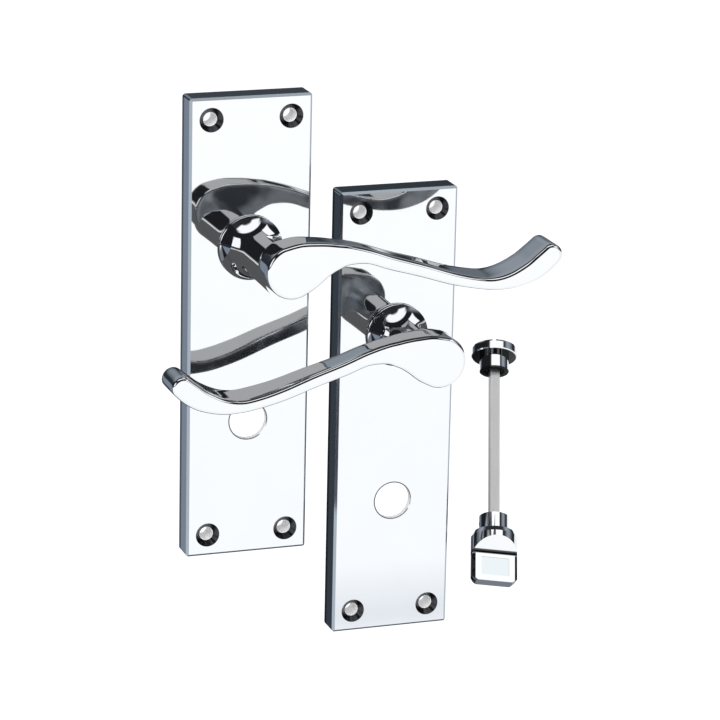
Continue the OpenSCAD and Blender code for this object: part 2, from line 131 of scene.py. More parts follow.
# %% Scroll outline
FACE_Y = -8.5
FRONT_Y = FACE_Y - 43.5
HEAD_R = 8.4
HEAD_DEPTH = 10.5
STATIONS = [
    (0.4, 2.9, HEAD_R, HEAD_DEPTH),
    (5.2, 4.6, 7.6, 10.2),
    (10, 6, 5.8, 9.4),
    (14, 6.7, 4.4, 8.8),
    (18.5, 7, 3.2, 8.6),
    (25, 6, 2.3, 9),
    (32, 3.5, 2.2, 9.6),
    (42, 0.4, 2.1, 10.6),
    (52, -3, 2, 12),
    (60, -5, 1.9, 13.2),
    (66, -5.8, 2, 13.5),
    (72, -5.2, 2.6, 13.5),
    (78, -3, 3.3, 13.2),
    (82, -0.4, 3.6, 13),
    (85.1, 2.27, 3.45, 13),
]
TIP_BULGE = 3.1
HEAD_STEPS, SPAN_STEPS, TIP_STEPS = 24, 12, 12
HEAD_ARC_FROM, TIP_ARC_TO = 4, 88


def curve_at(p, i, t):
    """Catmull-Rom curve through the stations."""
    a, b, c, d = p[max(i - 1, 0)], p[i], p[i + 1], p[min(i + 2, len(p) - 1)]
    return [
        0.5 * (2 * b[k] + (c[k] - a[k]) * t + (2 * a[k] - 5 * b[k] + 4 * c[k] - d[k]) * t**2
               + (3 * b[k] - a[k] - 3 * c[k] + d[k]) * t**3)
        for k in range(4)
    ]


def middle_line():
    """Rows of [x, z, half width, depth] from the end of the head to the tip."""
    head, after = Vector(STATIONS[0][:2]), Vector(STATIONS[1][:2])
    head_way = (after - head).normalized()
    rows = []
    for k in range(HEAD_STEPS):
        a = math.radians(HEAD_ARC_FROM + (90 - HEAD_ARC_FROM) * k / HEAD_STEPS)
        rows.append([*(head - HEAD_R * math.cos(a) * head_way), HEAD_R * math.sin(a), HEAD_DEPTH])
    for i in range(len(STATIONS) - 1):
        rows += [curve_at(STATIONS, i, k / SPAN_STEPS) for k in range(SPAN_STEPS)]
    end, before = STATIONS[-1], STATIONS[-2]
    way = Vector((end[0] - before[0], end[1] - before[1])).normalized() * TIP_BULGE
    for k in range(TIP_STEPS + 1):
        a = math.radians(TIP_ARC_TO * k / TIP_STEPS)
        out = way * math.sin(a)
        rows.append([end[0] + out.x, end[1] + out.y, end[2] * math.cos(a), end[3]])
    return rows


def outline_of(rows):
    """Closed outline: along the top, then back along the underside, as (x, z, depth)."""
    sides = {1: [], -1: []}
    for i, (x, z, half, depth) in enumerate(rows):
        a, b = rows[max(i - 1, 0)], rows[min(i + 1, len(rows) - 1)]
        way = Vector((b[0] - a[0], b[1] - a[1])).normalized()
        for s in sides:
            sides[s].append((x - way.y * half * s, z + way.x * half * s, depth))
    return sides[1] + sides[-1][::-1]


outline = outline_of(middle_line())
print("scroll outline:", len(outline), "points,", round(max(p[0] for p in outline), 1), "mm to the tip")

# %% Scroll mesh
EDGE_R = 1.1
FLAT_MARGIN = 0.25
ROUND_STEPS = 6
SIDE_PARTS = (0.25, 0.5, 0.75)


def scroll_rings():
    """Rings from the flat of the front, round both edges, to the flat of the back."""
    count = len(outline)
    out = []
    for i, (x, z, depth) in enumerate(outline):
        a, b = outline[i - 1], outline[(i + 1) % count]
        way = Vector((b[0] - a[0], b[1] - a[1])).normalized()
        out.append((-way.y, way.x))
    bend = [math.radians(90 * k / ROUND_STEPS) for k in range(ROUND_STEPS + 1)]
    steps = [(EDGE_R + FLAT_MARGIN, 0.0)]
    steps += [(EDGE_R * (1 - math.sin(a)), EDGE_R * (1 - math.cos(a))) for a in bend]

    def ring(inset, from_front=None, from_back=None):
        return [
            (p[0] - n[0] * inset,
             FRONT_Y + from_front if from_back is None else FRONT_Y + p[2] - from_back,
             p[1] - n[1] * inset)
            for p, n in zip(outline, out)
        ]

    rings = [ring(inset, from_front=deep) for inset, deep in steps]
    for t in SIDE_PARTS:
        rings.append([(p[0], FRONT_Y + EDGE_R + (p[2] - 2 * EDGE_R) * t, p[1]) for p in outline])
    return rings + [ring(inset, from_back=deep) for inset, deep in reversed(steps)]


def add_scroll(bm):
    """Skins the rings and closes the front and the back with strips of quads."""
    rows = skin(bm, scroll_rings())
    half = len(outline) // 2
    for row in (rows[0], rows[-1]):
        for i in range(half - 1):
            j = len(row) - 1 - i
            bm.faces.new((row[i], row[i + 1], row[j - 1], row[j]))


print("rings of the scroll:", len(scroll_rings()))

# %% [markdown]
# ## Neck, bell and shank
# Behind the head the casting is turned work: a round neck that sweeps out into a bell over the bearing, and
# a shank that passes through the plate, with a groove for the circlip and a square socket for the spindle. A
# lathe of points gives all that is round. The socket and the flats are cut with a boolean, which is the same
# as broaching and milling them.

# %% Neck profile
RIM_GAP = 0.3
RIM_Y = FACE_Y - RIM_GAP
BELL_R, BELL_H, BELL_RIM = 10.4, 13, 0.9
WAIST_R, NECK_TOP_R = 6.7, 7.1
RIM_SOFT = 0.12
BUSH_R, BUSH_FACE = 9.5, 1.15
SHANK_R, SHANK_END_Y = 6.8, -0.2
GROOVE_R, GROOVE_FROM, GROOVE_TO = 6.3, -1.85, -0.95
TOP = RIM_Y - FRONT_Y - HEAD_DEPTH / 2
LATHE_STEPS, SWEEP_STEPS = 96, 60


def neck_r(h):
    """Radius of the bell's hollow sweep and of the neck at a height over the rim."""
    flare = (BELL_R - WAIST_R) * (1 - min(h / BELL_H, 1)) ** 2.6
    return WAIST_R + flare + (NECK_TOP_R - WAIST_R) * (h / TOP) ** 3


def lathe(bm, profile):
    """Turned skin from (radius, y) points, closed at both ends."""
    rings = []
    for k in range(LATHE_STEPS):
        a = 2 * math.pi * k / LATHE_STEPS
        rings.append([(r * math.sin(a), y, r * math.cos(a)) for r, y in profile])
    rows = skin(bm, rings + [rings[0]], closed=False)
    bmesh.ops.remove_doubles(bm, verts=[v for row in rows for v in row], dist=1e-5)
    open_edges = [e for e in bm.edges if e.is_boundary]
    bmesh.ops.holes_fill(bm, edges=open_edges, sides=0)


def neck_profile():
    """Neck from inside the head, over the bell's rim, and down the shank."""
    sweep = []
    for k in range(SWEEP_STEPS + 1):
        h = TOP * (k / SWEEP_STEPS) ** 1.5
        sweep.append((neck_r(h), RIM_Y - BELL_RIM - h * (TOP - BELL_RIM) / TOP))
    rim_front = RIM_Y - BELL_RIM
    rim = [(BELL_R - RIM_SOFT, rim_front - 0.1), (BELL_R, rim_front + RIM_SOFT),
           (BELL_R, RIM_Y - RIM_SOFT), (BELL_R - RIM_SOFT, RIM_Y)]
    under = [(BUSH_R, RIM_Y), (BUSH_R, FACE_Y - BUSH_FACE), (SHANK_R, FACE_Y - BUSH_FACE)]
    groove = [(SHANK_R, GROOVE_FROM), (GROOVE_R, GROOVE_FROM), (GROOVE_R, GROOVE_TO), (SHANK_R, GROOVE_TO)]
    return sweep[:0:-1] + rim + under + groove + [(SHANK_R, SHANK_END_Y)]


def box_cutter(low, high):
    """Box in millimetres between two corners, for a boolean to take away."""
    bm = bmesh.new()
    size = [b - a for a, b in zip(low, high)]
    middle = [(a + b) / 2 for a, b in zip(low, high)]
    bmesh.ops.create_cube(bm, size=1, matrix=Matrix.Translation(middle) @ Matrix.Diagonal((*size, 1)))
    return bm


def cut(obj, cutter_bm, matrix):
    """Takes a cutter away from a piece and deletes the cutter."""
    cutter = finish_mesh("cutter", cutter_bm, matrix)
    boolean = obj.modifiers.new("cut", "BOOLEAN")
    boolean.operation = "DIFFERENCE"
    boolean.solver = "EXACT"
    boolean.object = cutter
    bpy.context.view_layer.objects.active = obj
    bpy.ops.object.modifier_apply(modifier=boolean.name)
    bpy.data.objects.remove(cutter, do_unlink=True)


print("neck behind the head:", round(TOP, 2), "mm")

# %% Build both levers
SOCKET_HALF = 4.05
SOCKET_DEPTH = 17.5
SOCKET_LOW = (-SOCKET_HALF, -SOCKET_DEPTH, -SOCKET_HALF)
SOCKET_HIGH = (SOCKET_HALF, 1, SOCKET_HALF)
FLAT_X = 5.9
FLAT_FROM_Y = -3.1
PAST_SHANK = 9

for name, hand in HANDS.items():
    matrix = hand_matrix(hand)
    scroll_bm = bmesh.new()
    add_scroll(scroll_bm)
    scroll = finish_mesh(f"{name}_lever_scroll", scroll_bm, matrix)
    neck_bm = bmesh.new()
    lathe(neck_bm, neck_profile())
    neck = finish_mesh(f"{name}_lever_neck", neck_bm, matrix)
    cut(neck, box_cutter(SOCKET_LOW, SOCKET_HIGH), matrix)
    for s in (1, -1):
        x = sorted((s * FLAT_X, s * PAST_SHANK))
        cut(neck, box_cutter((x[0], FLAT_FROM_Y, -PAST_SHANK), (x[1], 1, PAST_SHANK)), matrix)
    neck.data.set_sharp_from_angle(angle=SMOOTH_ANGLE)
    for piece in (scroll, neck):
        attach(piece, f"{name}_handle")
    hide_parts(f"{name}_lever")
    hand["lever"] = [scroll, neck]
    print(name, "lever:", len(scroll.data.polygons), "+", len(neck.data.polygons), "faces")

# %% [markdown]
# ## Return springs
# Behind each plate a wire coil winds up as the lever goes down. Its fixed leg stays with the plate and its
# free leg travels with the lever's lug; each turn takes its share of the rotation, which is how a torsion
# spring really moves.

# %% Spring path
WIRE_R = 0.45
COIL_R = 12
COIL_PITCH = 1.35
COIL_Y0 = -6.15
FIXED_LEG, FREE_LEG = 44.2, -13.7
COIL_TURNS = 2 + (FREE_LEG - FIXED_LEG) / 360
COIL_END_Y = COIL_Y0 + COIL_TURNS * COIL_PITCH
COIL_STEPS = 150
LEG_RADII = (17, 15.5, 14.2, 13.3)
LEG_BEND = ((1, 12.7), (3, 12.25))
WIRE_SIDES = 14


def on_circle(angle, r, y):
    """Point at an angle round the spindle, in degrees from straight up."""
    a = math.radians(angle)
    return Vector((r * math.sin(a), y, r * math.cos(a)))


def spring_path():
    """Fixed leg, coil and free leg as one line of points."""
    path = [on_circle(FIXED_LEG, r, COIL_Y0) for r in LEG_RADII]
    path += [on_circle(FIXED_LEG + angle, r, COIL_Y0) for angle, r in LEG_BEND]
    for k in range(3, COIL_STEPS - 2):
        turned = COIL_TURNS * k / COIL_STEPS
        path.append(on_circle(FIXED_LEG + 360 * turned, COIL_R, COIL_Y0 + COIL_PITCH * turned))
    path += [on_circle(FREE_LEG - angle, r, COIL_END_Y) for angle, r in reversed(LEG_BEND)]
    return path + [on_circle(FREE_LEG, r, COIL_END_Y) for r in reversed(LEG_RADII)]


def tube_rings(path):
    """Round sections of the wire, square to its path."""
    corners = [2 * math.pi * k / WIRE_SIDES for k in range(WIRE_SIDES)]
    rings = []
    for i, point in enumerate(path):
        way = (path[min(i + 1, len(path) - 1)] - path[max(i - 1, 0)]).normalized()
        u = way.cross(Vector((0, 1, 0))).normalized()
        v = u.cross(way)
        rings.append([point + WIRE_R * (math.cos(a) * u + math.sin(a) * v) for a in corners])
    return rings


print("coil turns:", round(COIL_TURNS, 2))

# %% Build both springs
for name, hand in HANDS.items():
    spring_bm = bmesh.new()
    rows = skin(spring_bm, tube_rings(spring_path()))
    for row in (rows[0], rows[-1]):
        spring_bm.faces.new(row)
    spring = finish_mesh(f"{name}_return_coil", spring_bm, hand_matrix(hand, tilted=False))
    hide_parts(f"{name}_return_spring")
    start, end = [hand["at"] + Vector((0, y * MM, 0)) for y in (COIL_Y0, COIL_END_Y)]
    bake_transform(spring)
    hand["spring"] = spring
    print(name, "spring:", len(spring.data.polygons), "faces")

# %% [markdown]
# ## Writing shader maths as plain expressions
# A material is a small formula. Wrapping a socket in a class that knows + and * keeps the formula readable:
# `0.03 + 0.02 * haze` adds two Math nodes. Every other node comes from one method, `node`. Masks are built
# from two shapes: a step, which goes from 0 to 1, and a band, which comes back to 0.

# %% Socket class
OBJECT_COORDS, NORMAL_COORDS = 3, 1


class Value:
    """A socket of a node tree that can be added, multiplied and passed on."""

    def __init__(self, tree, socket):
        self.tree = tree
        self.socket = socket

    def other(self, key):
        """Another output of the same node."""
        return Value(self.tree, self.socket.node.outputs[key])

    def math(self, operation, a, b):
        return self.tree.node("ShaderNodeMath", {"operation": operation}, {0: a, 1: b})

    def __add__(self, other):
        return self.math("ADD", self, other)

    def __radd__(self, other):
        return self.math("ADD", other, self)

    def __sub__(self, other):
        return self.math("SUBTRACT", self, other)

    def __rsub__(self, other):
        return self.math("SUBTRACT", other, self)

    def __mul__(self, other):
        return self.math("MULTIPLY", self, other)

    def __rmul__(self, other):
        return self.math("MULTIPLY", other, self)

    def __pow__(self, other):
        return self.math("POWER", self, other)

    def __abs__(self):
        return self.tree.node("ShaderNodeMath", {"operation": "ABSOLUTE"}, {0: self})


class Tree:
    """The node tree of a material or of the world."""

    def __init__(self, owner):
        owner.use_nodes = True
        self.nodes = owner.node_tree.nodes
        self.links = owner.node_tree.links
        self.nodes.clear()

    def node(self, kind, settings=None, sockets=None, output=0):
        """Adds a node: its settings first, then the values or links of its sockets."""
        made = self.nodes.new(kind)
        for key, value in (settings or {}).items():
            if key == "stops":
                elements = made.color_ramp.elements
                while len(elements) < len(value):
                    elements.new(1)
                for element, (position, colour) in zip(elements, value):
                    element.position = position
                    element.color = (*(colour if isinstance(colour, tuple) else [colour] * 3), 1)
            else:
                setattr(made, key, value)
        for key, value in (sockets or {}).items():
            if isinstance(value, Value):
                self.links.new(value.socket, made.inputs[key])
            else:
                made.inputs[key].default_value = value
        return Value(self, made.outputs[output]) if made.outputs else None

    def ramp(self, factor, stops):
        """Colour that runs through a row of (position, colour) stops."""
        return self.node("ShaderNodeValToRGB", {"stops": stops}, {"Fac": factor})

    def mix(self, factor, a, b):
        """Colour a where the factor is 0 and colour b where it is 1."""
        return self.node("ShaderNodeMix", {"data_type": "RGBA"}, {0: factor, 6: a, 7: b}, output=2)

    def where(self):
        """The point's own position in the piece."""
        return self.node("ShaderNodeTexCoord", output=OBJECT_COORDS)

    def facing(self):
        """The way that the surface faces."""
        return self.node("ShaderNodeTexCoord", output=NORMAL_COORDS)


def step(tree, value, low, high):
    """0 below low, 1 above high, smooth in between."""
    return tree.node("ShaderNodeMapRange", {"interpolation_type": "SMOOTHSTEP"},
                     {"Value": value, "From Min": low, "From Max": high})


def band(tree, value, low, high, soft):
    """1 between low and high, 0 outside, with a smooth edge of a given width inside each end."""
    return step(tree, value, low, low + soft) * (1 - step(tree, value, high - soft, high))


def split(tree, vector):
    """The x, y and z of a vector as three values."""
    axes = tree.node("ShaderNodeSeparateXYZ", None, {0: vector})
    return axes, axes.other(1), axes.other(2)


def along(tree, vector, axis):
    """How far a vector reaches along an axis."""
    return tree.node("ShaderNodeVectorMath", {"operation": "DOT_PRODUCT"}, {0: vector, 1: axis}, output=1)


def noise(tree, scale, detail=3, vector=None):
    """Soft random clouds, so many to the metre."""
    return tree.node("ShaderNodeTexNoise", None, {
        "Scale": scale, "Detail": detail, "Vector": tree.where() if vector is None else vector,
    })


print("operators of a value:", "+ - * ** abs")

# %% [markdown]
# ## Chrome
# Decorative chrome is a thin bright layer over nickel on a polished zinc casting. It is nearly a mirror,
# faintly blue, and the eye reads it by tiny faults: a trace of polishing haze and the soft waviness that a
# buffing wheel leaves. A glossy grey would do from afar, but close by it looks like paint. So haze goes to
# the roughness and the waviness to a very weak bump.

# %% Metal
CLOUDS, SPECKS = 90, 1400
WAVE_HEIGHT = 0.0004


def metal(name, colour, roughness, haze, wave_scale, wave, grain=None, places=None):
    """A metal with haze in its roughness and a weak waviness in its normal.

    grain(tree) adds drawn streaks. places(tree, tone, rough) gives back the tone, the roughness and the
    share of bare metal with their changes from place to place.
    """
    material = bpy.data.materials.new(name)
    tree = Tree(material)
    cloud = noise(tree, CLOUDS, 4)
    speck = noise(tree, SPECKS, 2)
    tone = tree.ramp(cloud, [(0.3, tuple(c * 0.985 for c in colour)), (0.7, colour)])
    rough = roughness + haze * cloud * speck
    height = noise(tree, wave_scale, 2)
    if grain is not None:
        height = height + 0.6 * grain(tree)
        rough = rough + 0.12 * grain(tree)
    bump = tree.node("ShaderNodeBump", None, {"Strength": wave, "Distance": WAVE_HEIGHT, "Height": height})
    metallic = 1.0
    if places is not None:
        tone, rough, metallic = places(tree, tone, rough)
    shader = tree.node("ShaderNodeBsdfPrincipled", None, {
        "Base Color": tone, "Metallic": metallic, "Roughness": rough, "Normal": bump,
    })
    tree.node("ShaderNodeOutputMaterial", None, {"Surface": shader})
    return material


def chrome(name, places):
    """Chrome of a small casting."""
    return metal(f"chrome_on_{name}", (0.95, 0.96, 0.975), 0.02, 0.03, 120, 0.02, places=places)


print("haze in patches of", round(1000 / CLOUDS), "mm with specks of", round(1000 / SPECKS, 1), "mm")

# %% [markdown]
# ## Places that the buffing wheel misses
# A wheel reaches the front of a casting and little else. The back of the scroll stays grey and patchy.
# Painting such places by hand would work too. Here each is a mask made from the point's own position or
# from the way that the surface faces, so its edge is exact and it can be changed by one number.

# %% Chrome of the levers


def lever_places(tree, tone, rough):
    """Leaves the back of the scroll grey and hazy, with dark patches."""
    _, facing_y, _ = split(tree, tree.facing())
    back = step(tree, facing_y, 0.6, 0.95)
    dark_patch = step(tree, noise(tree, 38), 0.44, 0.56)
    cast_skin = tree.mix(dark_patch, (0.56, 0.6, 0.64, 1), (0.12, 0.13, 0.145, 1))
    return tree.mix(back, tone, cast_skin), rough + 0.14 * back, 1 - 0.45 * back


chrome_lever = chrome("lever", lever_places)
print("levers:", chrome_lever.name)

# %% [markdown]
# ## The plates' holes and edges
# The bevels of a plate are duller than its face and the countersinks carry painted shade. Inside the holes
# the bare casting is painted a pale near white, as bright as the white seen through them. A thin dark line,
# broken here and there, rings the turn hole, and a painted shadow line runs along the back edge of the
# sides, where the plate meets the door. The narrow top edge carries a painted reflection, darker on the
# right plate than on the left one, so each plate has a chrome of its own.

# %% Chrome of the plates
HOLE_MIDDLE_Z = -0.0265
SCREW_X, SCREW_Z = 0.013, 0.068
SINK_R, SCREW_R = 0.004, 0.0022
TURN_Z, TURN_R = -0.057, 0.0061
LINE_TO, LINE_SOFT = 0.00045, 0.0001
TOP_EDGE_Z = 0.046
BACK_EDGE_Y = -0.0024
TOP_REFLECTION_TONES = {"left": (0.95, 0.97, 0.99, 1), "right": (0.22, 0.3, 0.34, 1)}


def plate_places(hand, top_reflection_tone):
    """Dulls the bevels of one plate, paints shade into its countersinks and along its back edge and a
    reflection on its top edge, and paints the bare inside of its holes a pale near white.
    """
    def places(tree, tone, rough):
        x, y, z = split(tree, tree.where())
        facing_x, facing_y, facing_z = split(tree, tree.facing())
        x, y, z = x - hand["at"].x, y - hand["at"].y, z - hand["at"].z
        from_screw = ((abs(x) - SCREW_X) ** 2 + (abs(z - HOLE_MIDDLE_Z) - SCREW_Z) ** 2) ** 0.5
        from_turn = (x**2 + (z - TURN_Z) ** 2) ** 0.5
        bevel = 1 - abs(2 * facing_y**2 - 1)
        # painted shade: the countersinks are darkened to near black
        sink_shade = 1 - step(tree, from_screw, SINK_R - 0.0002, SINK_R)
        screw_wall = 1 - step(tree, from_screw, SCREW_R, SCREW_R + 0.0001)
        turn_wall = 1 - step(tree, from_turn, TURN_R, TURN_R + 0.00005)
        # a thin dark line, broken by noise, round the turn hole
        turn_line = 1 - step(tree, from_turn, TURN_R + LINE_TO - LINE_SOFT, TURN_R + LINE_TO)
        turn_line *= step(tree, noise(tree, 120), 0.32, 0.4)
        # painted shadow: a dark line along the back of the side faces, where the plate meets the door
        back_edge_shadow = step(tree, y, BACK_EDGE_Y, BACK_EDGE_Y + 0.0008) * step(tree, abs(facing_x), 0.8, 0.9)
        # painted reflection: the top face takes the tone that it reflects, near white on the left plate,
        # slate on the right
        top_edge_reflection = step(tree, facing_z, 0.8, 0.95) * step(tree, z, TOP_EDGE_Z, TOP_EDGE_Z + 0.001)
        inside = step(tree, facing_y, 0.3, 0.6)
        tone = tree.mix(bevel, tone, (0.42, 0.47, 0.53, 1))
        tone = tree.mix(top_edge_reflection, tone, top_reflection_tone)
        tone = tree.mix(0.85 * back_edge_shadow, tone, (0.05, 0.06, 0.08, 1))
        tone = tree.mix(0.9 * turn_line, tone, (0.03, 0.035, 0.04, 1))
        tone = tree.mix(sink_shade, tone, (0.06, 0.063, 0.07, 1))
        tone = tree.mix(inside, tone, (0.5, 0.52, 0.54, 1))
        # bare casting, partly painted light: the walls of the holes are a near-white matt, as bright as the
        # white seen through them
        bare = screw_wall + turn_wall
        tone = tree.mix(bare, tone, (0.97, 0.97, 0.98, 1))
        return tone, rough + 0.18 * bevel + 0.3 * (bare + inside), 1 - bare - 0.6 * (1 - bare) * inside
    return places


for name, hand in HANDS.items():
    hand["plate_chrome"] = metal(f"chrome_on_{name}_plate", (0.95, 0.965, 0.985), 0.025, 0.03, 45, 0.03,
                                 places=plate_places(hand, TOP_REFLECTION_TONES[name]))
    print(name, "plate:", hand["plate_chrome"].name)

# %% [markdown]
# ## The turn and release set
# The thumbturn's blade has painted shade in the hollow between its round shoulder and its flat, a painted
# dark reflection on its long edges, and a pale sunken panel. The release has painted shade under its disc
# and at the end of its boss, where the bar goes in.
# The set lies askew, so these masks are measured along its own three axes.

# %% Chrome of the turn and release set
TURN_MIDDLE = Vector((0.0976, 0.024, -0.0906))
TURN_LIES = (Matrix.Rotation(math.radians(17), 3, "Y") @ Matrix.Rotation(math.radians(-40), 3, "X")
             @ Matrix.Rotation(math.radians(-15), 3, "Z"))
turn_low = min((v.co - TURN_MIDDLE) @ TURN_LIES.col[2] for v in frame["nodes"]["thumbturn"].data.vertices)
BLADE_TOP = 0.0104
PANEL_HALF, PANEL_FROM, PANEL_TO, PANEL_SOFT = 0.0047, 0.002, 0.0084, 0.0002
HOLLOW_FROM, HOLLOW_TO = BLADE_TOP - 0.0009, BLADE_TOP + 0.0006
ROUND_BAR = 0.0036
SET_SIDE, SET_FRONT, SET_UP = TURN_LIES.col
BLACK = (0.012, 0.013, 0.015, 1)


def turn_places(tree, tone, rough):
    """Paints shade into the hollow and a dark reflection on the long edges of the blade, and greys its
    sunken panel.
    """
    where, facing = tree.where(), tree.facing()
    across = abs(along(tree, where, SET_SIDE) - TURN_MIDDLE.dot(SET_SIDE))
    height = along(tree, where, SET_UP) - (TURN_MIDDLE.dot(SET_UP) + turn_low)
    flat = step(tree, abs(along(tree, facing, SET_FRONT)), 0.97, 0.99)
    panel = flat * band(tree, height, PANEL_FROM, PANEL_TO, PANEL_SOFT)
    panel *= 1 - step(tree, across, PANEL_HALF - PANEL_SOFT, PANEL_HALF)
    # painted shade: the hollow under the blade's shoulder is painted black
    hollow = step(tree, height, HOLLOW_FROM, HOLLOW_FROM + 0.0003)
    hollow *= 1 - step(tree, height, HOLLOW_TO - 0.0002, HOLLOW_TO)
    # painted reflection: the long edges of the blade, which face sideways, are painted black
    sideways = along(tree, facing, SET_SIDE)
    edge = step(tree, 1 - abs(2 * sideways**2 - 1), 0.6, 0.85)
    edge *= 1 - step(tree, height, BLADE_TOP, BLADE_TOP + 0.0003)
    tone = tree.mix(panel, tone, (0.8, 0.86, 0.89, 1))
    return tree.mix(1 - (1 - 0.93 * hollow) * (1 - 0.93 * edge), tone, BLACK), rough, 1.0


def release_places(tree, tone, rough):
    """Paints shade on the face under the disc and on the end of the boss, darkest round the bar."""
    where = tree.where()
    across = along(tree, where, SET_SIDE) - TURN_MIDDLE.dot(SET_SIDE)
    depth = along(tree, where, SET_FRONT) - TURN_MIDDLE.dot(SET_FRONT)
    # painted shade on the faces that look down, under the disc and at the end of the boss
    low = step(tree, along(tree, tree.facing(), -SET_UP), 0.9, 0.97)
    # painted shade, black round the bar where it goes into the boss
    shade_round_bar = 1 - step(tree, (across**2 + depth**2) ** 0.5, ROUND_BAR - 0.0004, ROUND_BAR + 0.0002)
    tone = tree.mix(low, tone, (0.2, 0.21, 0.22, 1))
    return tree.mix(low * shade_round_bar, tone, BLACK), rough, 1.0


chrome_turn = chrome("thumbturn", turn_places)
chrome_release = chrome("release", release_places)
print("lowest point of the thumbturn:", round(turn_low * 1000, 2), "mm from its middle")

# %% [markdown]
# ## Steels and nylon
# The pieces behind the plate are plain: zinc on pressed steel is a cool grey with soft patches, spring wire
# is dark and oiled, and the bush is natural nylon that lets a little light in. The turn's square bar is
# drawn steel, so its marks run along the bar. The same metal recipe serves them all, with more haze and a
# finer grain, and only the nylon needs one of its own.

# %% Other materials
SET_AXIS = Vector(joints["thumbturn_turn"]["axis"]).normalized()
STREAKS_ALONG, STREAKS_ACROSS = 60, 3000


def drawn_grain(tree):
    """Streaks that run along the bar of the turn set."""
    side = SET_AXIS.cross(Vector((0, 0, 1))).normalized()
    third = SET_AXIS.cross(side)
    where = tree.where()
    stretched = (SET_AXIS * STREAKS_ALONG, side * STREAKS_ACROSS, third * STREAKS_ACROSS)
    parts = [along(tree, where, axis) for axis in stretched]
    return noise(tree, 1, 3, tree.node("ShaderNodeCombineXYZ", None, dict(enumerate(parts))))


zinc = metal("zinc_on_pressed_steel", (0.7, 0.72, 0.76), 0.28, 0.15, 700, 0.12)
wire = metal("oiled_spring_wire", (0.26, 0.26, 0.28), 0.3, 0.15, 900, 0.1)
bar = metal("drawn_steel_bar", (0.94, 0.94, 0.93), 0.34, 0.1, 500, 0.1, drawn_grain)
pin_steel = metal("hardened_pin_steel", (0.42, 0.42, 0.44), 0.2, 0.1, 900, 0.05)


def nylon_material():
    """Cream nylon with faint clouds, a fine grain and a little light under the skin."""
    material = bpy.data.materials.new("natural_nylon")
    tree = Tree(material)
    cloud = noise(tree, 300, 3)
    tone = tree.ramp(cloud, [(0.3, (0.78, 0.76, 0.68)), (0.7, (0.84, 0.82, 0.75))])
    grain = noise(tree, 1500)
    bump = tree.node("ShaderNodeBump", None, {"Strength": 0.1, "Distance": 0.0002, "Height": grain})
    shader = tree.node("ShaderNodeBsdfPrincipled", None, {
        "Base Color": tone, "Roughness": 0.38 + 0.1 * cloud, "Subsurface Weight": 0.2,
        "Subsurface Scale": 0.001, "Normal": bump,
    })
    tree.node("ShaderNodeOutputMaterial", None, {"Surface": shader})
    return material


nylon = nylon_material()
print("other materials:", ", ".join(m.name for m in (zinc, wire, bar, pin_steel, nylon)))

# %% [markdown]
# ## Dressing
# Each node that is carried over keeps its mesh and gets one material. The meshes made above get theirs too.
# A real edge is never a razor: the plates and the turn set get a fine bevel from a modifier, which leaves
# the mesh below it as it is and gives the edge a line of light.

# %% Dress every piece
NODE_FINISH = {
    "thumbturn": chrome_turn,
    "release": chrome_release,
    "turn_spindle": bar,
    "turn_pin": pin_steel,
}
for name, hand in HANDS.items():
    NODE_FINISH |= {
        f"{name}_backplate": hand["plate_chrome"],
        f"{name}_neck_bush": nylon,
        f"{name}_drive_disc": zinc,
        f"{name}_circlip": wire,
        f"{name}_stop_pin": zinc,
        f"{name}_anchor_pin": zinc,
        f"{name}_lever": chrome_lever,
        f"{name}_return_spring": wire,
    }


def wear(obj, material):
    """Puts one material in every slot of an object."""
    if not obj.material_slots:
        obj.data.materials.append(material)
    for slot in obj.material_slots:
        slot.material = material


for node, material in NODE_FINISH.items():
    wear(frame["nodes"][node], material)
for hand in HANDS.values():
    for piece in hand["lever"]:
        wear(piece, chrome_lever)
    wear(hand["spring"], wire)
print("dressed:", len(NODE_FINISH), "nodes")

# %% Break the edges of the plates and the turn set
BROKEN_EDGES = {"left_backplate": 0.12, "right_backplate": 0.12, "thumbturn": 0.28, "release": 0.12}
for node, width in BROKEN_EDGES.items():
    bevel = frame["nodes"][node].modifiers.new("broken_edge", "BEVEL")
    bevel.width = width * MM
    bevel.segments = 2
    bevel.limit_method = "ANGLE"
    bevel.angle_limit = math.radians(28)
    print(node, "edges broken by", width, "mm")

# %% [markdown]
# ## A white studio for a mirror
# A mirror shows the room, so the room is drawn for it. Real lamps and cards would do as well, but a world
# made of bands is quicker and has no noise. The camera sees plain white. What the metal sees in front is a
# white sweep low down, a dark room with two soft boxes and a strip over them. Behind the piece hangs dark
# cloth that is lighter higher up, with a slate card and a dark side, and a white ceiling closes the front.
# Light that has already met one mirror finds a grey card as well, as the levers seen in the plates do.
# Matt surfaces see one even light.

# %% World
WHITE = (1.06, 1.06, 1.06, 1)
SECOND_MIRROR = (1.4, 1.6)
CARD_LIGHT = 0.36
MATT_LIGHT = 0.75

world = bpy.data.worlds.new("studio")
bpy.context.scene.world = world
sky = Tree(world)
way_x, way_y, way_z = split(sky, sky.node("ShaderNodeTexCoord", output=0))
is_camera = sky.node("ShaderNodeLightPath")
is_glossy = is_camera.other("Is Glossy Ray")
second_hand = step(sky, is_camera.other("Glossy Depth"), *SECOND_MIRROR)

front = 1 - step(sky, way_y, -0.42, -0.2)
low_sweep = 1 - step(sky, way_z, -0.06, 0.04)
box_left = band(sky, way_x, -0.95, -0.57, 0.05)
box_right = band(sky, way_x, 0.44, 0.76, 0.04)
box_height = step(sky, way_z, 0.08, 0.11) * (1 - step(sky, way_z, 0.52, 0.56))
box_top = step(sky, way_z, 0.74, 0.78)
grey_card = band(sky, way_x, -0.02, 0.46, 0.04)
grey_card *= step(sky, way_z, 0.13, 0.17) * (1 - step(sky, way_z, 0.5, 0.53)) * second_hand
front_light = low_sweep + (box_left + box_right) * box_height + box_top + CARD_LIGHT * grey_card
front_tone = sky.mix(front_light, BLACK, WHITE)

